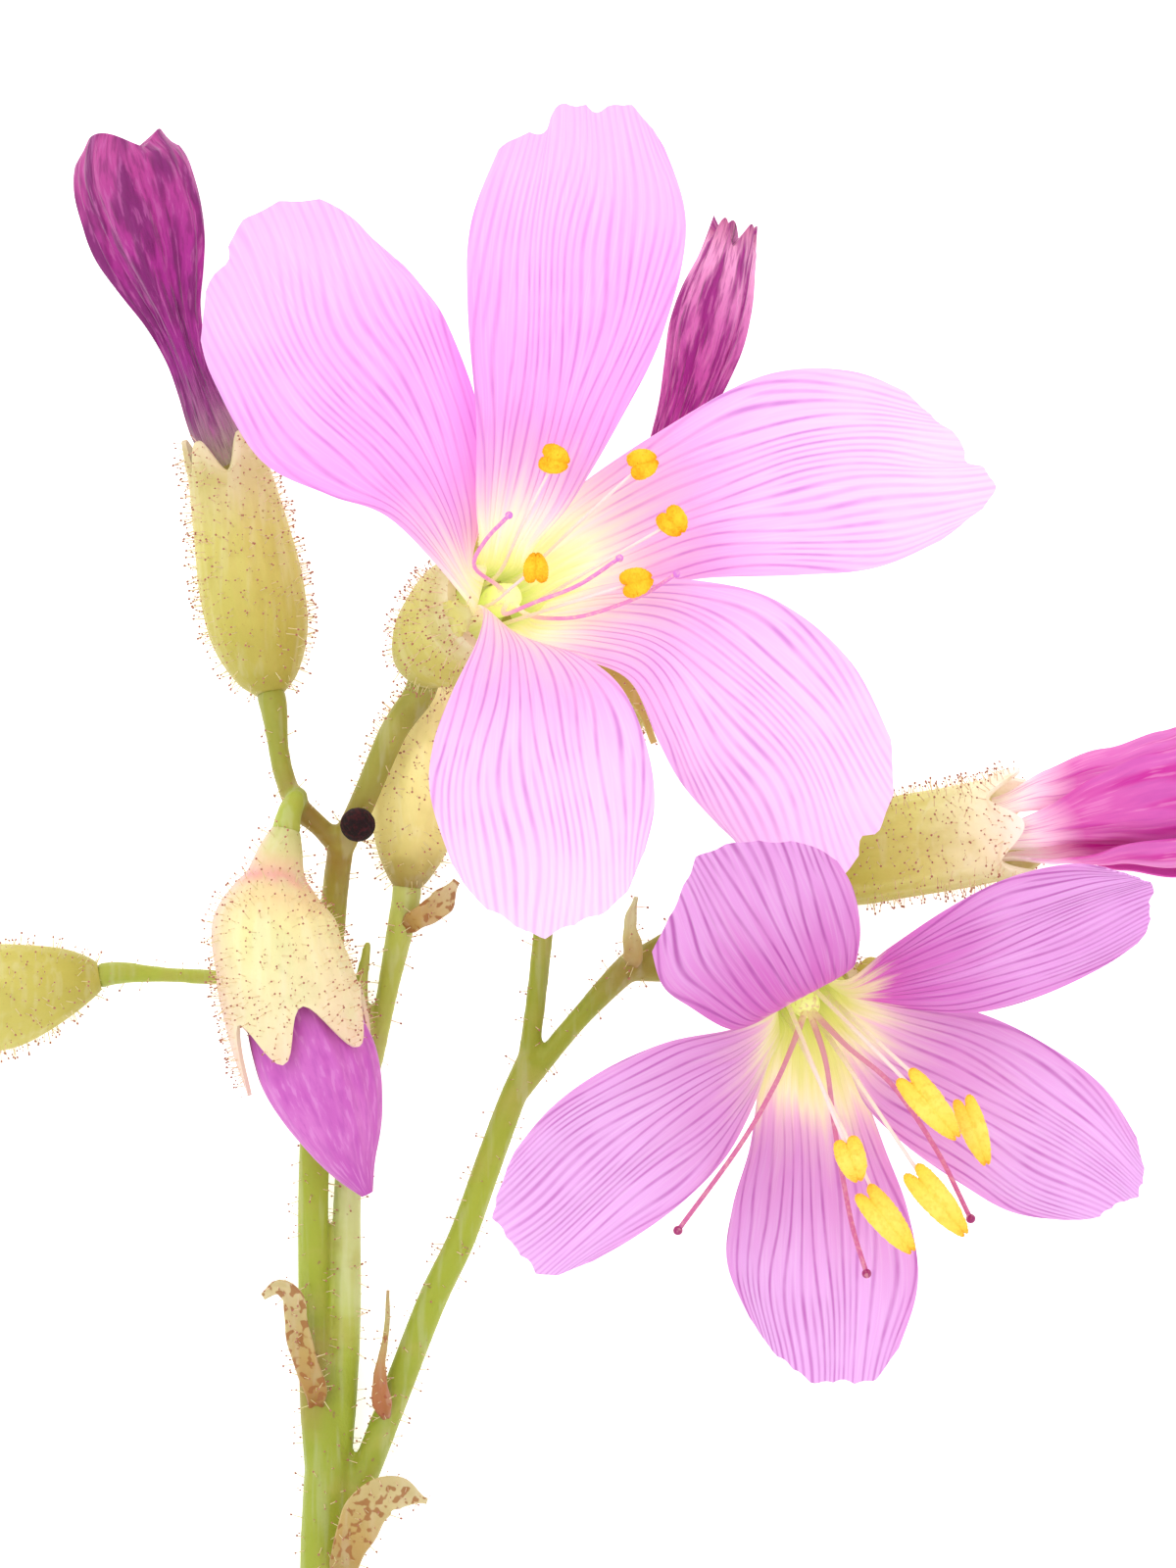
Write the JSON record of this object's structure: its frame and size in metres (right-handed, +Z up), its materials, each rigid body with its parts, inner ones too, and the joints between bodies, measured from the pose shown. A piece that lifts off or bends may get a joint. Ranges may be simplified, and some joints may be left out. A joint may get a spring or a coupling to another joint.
{
  "type": "sundew flower spray",
  "caption": "Cut flower spray of a king sundew lying on its back: branched green stalk, pink veined open flowers, hairy green calyces, withered corollas, buds and small bracts.",
  "frame": {"origin": "middle of the spray's box, on the surface that it lies on", "axes": "+Y runs up the spray from its cut end, +X to its right as seen from above, +Z up from the surface"},
  "size_m": [0.0898, 0.1152, 0.0278],
  "materials": {
    "stem": "soft satin plant skin",
    "calyx": "soft satin plant skin",
    "bract": "dry matte leaf",
    "petal_pale": "silky petal",
    "petal_mauve": "silky petal",
    "withered": "dry crinkled petal",
    "anther": "matte pollen",
    "filament": "soft satin plant skin",
    "pistil": "soft satin plant skin",
    "bead": "dark dried drop"
  },
  "bodies": {
    "root": {"flower_stalk": "stem", "bract_low_left": "bract", "bract_spike": "bract", "bract_axil": "bract", "bract_fork": "bract", "bract_hidden": "bract", "flower_1_calyx": "calyx", "flower_1_petal_upper_left": "petal_pale", "flower_1_petal_upper": "petal_pale", "flower_1_petal_right": "petal_pale", "flower_1_petal_lower_right": "petal_pale", "flower_1_petal_lower": "petal_pale", "flower_1_heart": "filament", "flower_1_pistil": "pistil", "flower_1_anther_1": "anther", "flower_1_anther_2": "anther", "flower_1_anther_3": "anther", "flower_1_anther_4": "anther", "flower_1_anther_5": "anther", "flower_2_calyx": "calyx", "flower_2_petal_upper_left": "petal_mauve", "flower_2_petal_upper_right": "petal_mauve", "flower_2_petal_lower_right": "petal_mauve", "flower_2_petal_lower": "petal_mauve", "flower_2_petal_lower_left": "petal_mauve", "flower_2_heart": "filament", "flower_2_pistil": "pistil", "flower_2_anther_1": "anther", "flower_2_anther_2": "anther", "flower_2_anther_3": "anther", "flower_2_anther_4": "anther", "flower_2_anther_5": "anther", "flower_3_calyx": "calyx", "flower_3_petal_1": "petal_mauve", "flower_3_petal_2": "petal_mauve", "flower_3_petal_3": "petal_mauve", "flower_3_petal_4": "petal_mauve", "flower_3_petal_5": "petal_mauve", "spent_left_calyx": "calyx", "spent_left_corolla": "withered", "spent_right_calyx": "calyx", "spent_right_corolla": "withered", "nodding_bud_calyx": "calyx", "nodding_bud_corolla": "petal_mauve", "far_left_bud_calyx": "calyx", "hidden_bud_calyx": "calyx", "joint_bead": "bead"}
  },
  "joints": []
}
